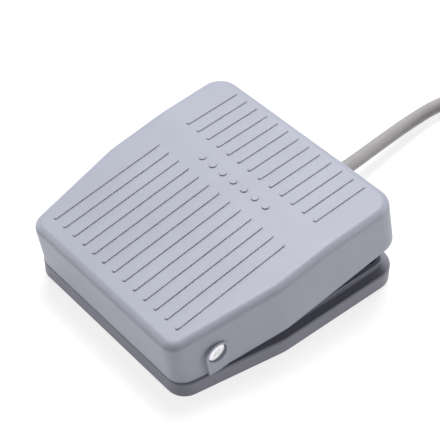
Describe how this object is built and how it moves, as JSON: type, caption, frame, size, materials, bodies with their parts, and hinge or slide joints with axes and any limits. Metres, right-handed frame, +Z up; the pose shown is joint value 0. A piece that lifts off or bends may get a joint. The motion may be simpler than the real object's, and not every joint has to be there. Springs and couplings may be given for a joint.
{
  "type": "foot switch",
  "caption": "Foot switch: a low base with a hinged, ribbed pedal cover over springs and a snap-action switch, and a round cable from the rear.",
  "frame": {"origin": "on the floor under the middle of the base, midway between the two fixing holes, whose mouths are 0.6 mm higher because the feet stand proud", "axes": "+Z up, +Y from the toe edge to the rear where the cable leaves, +X to the right seen from the toe edge"},
  "size_m": [0.1285, 0.2643, 0.0421],
  "materials": {
    "cover_plastic": "fine matt texture",
    "base_plastic": "fine matt texture",
    "steel": "bright zinc plate",
    "spring_steel": "drawn wire",
    "switch_plastic": "satin",
    "button_plastic": "satin",
    "brass": "satin",
    "roller_plastic": "satin",
    "relief_rubber": "matt",
    "jacket": "satin",
    "core_brown": "satin",
    "core_black": "satin",
    "core_blue": "satin",
    "copper": "drawn strands",
    "foot_rubber": "matt",
    "tie_plastic": "satin"
  },
  "bodies": {
    "base": {"base_tray": "base_plastic", "pivot_screw_left": "steel", "pivot_screw_right": "steel", "return_spring_left": "spring_steel", "return_spring_right": "spring_steel", "switch_case": "switch_plastic", "switch_lid": "switch_plastic", "switch_screws": "steel", "terminal_common": "brass", "terminal_closed": "brass", "terminal_open": "brass", "strain_relief": "relief_rubber", "cable_lead_in": "jacket", "cord_clamp": "base_plastic", "clamp_screws": "steel", "core_common": "core_brown", "core_open": "core_black", "core_closed": "core_blue", "rubber_feet": "foot_rubber", "cable": "jacket", "cable_coil": "jacket", "coil_tie": "tie_plastic", "tail_common": "core_brown", "tail_open": "core_black", "tail_closed": "core_blue", "bare_tips": "copper"},
    "pedal": {"pedal_cover": "cover_plastic"},
    "lever": {"switch_lever": "steel", "roller_pin": "steel"},
    "roller": {"lever_roller": "roller_plastic"},
    "plunger": {"switch_plunger": "button_plastic"},
    "blade": {"contact_blade": "copper"}
  },
  "joints": [
    {"name": "pedal_hinge", "type": "hinge", "parent": "base", "child": "pedal", "pos_m": [0, -0.0344, 0.0168], "axis": [1, 0, 0], "range_deg": [-8.9, 0], "stiffness_Nm_per_rad": 8.9, "springref_deg": 4.58, "deforming": ["return_spring_left", "return_spring_right"]},
    {"name": "lever_hinge", "type": "hinge", "parent": "base", "child": "lever", "pos_m": [0, 0.003, 0.02075], "axis": [1, 0, 0], "range_deg": [0, 13.4]},
    {"name": "roller_spin", "type": "hinge", "parent": "lever", "child": "roller", "pos_m": [0, -0.01204, 0.02656], "axis": [1, 0, 0], "continuous": true},
    {"name": "plunger_slide", "type": "slide", "parent": "base", "child": "plunger", "axis": [0, 0, 1], "range_m": [-0.0012, 0]},
    {"name": "blade_hinge", "type": "hinge", "parent": "base", "child": "blade", "pos_m": [0, 0.002, 0.0161], "axis": [1, 0, 0], "range_deg": [0, 2.3]}
  ],
  "couplings": [
    {"joint": "lever_hinge", "follows": "pedal_hinge", "ratio": -1.5},
    {"joint": "plunger_slide", "follows": "pedal_hinge", "m_per_rad": 0.0074},
    {"joint": "blade_hinge", "follows": "pedal_hinge", "ratio": -0.25}
  ]
}
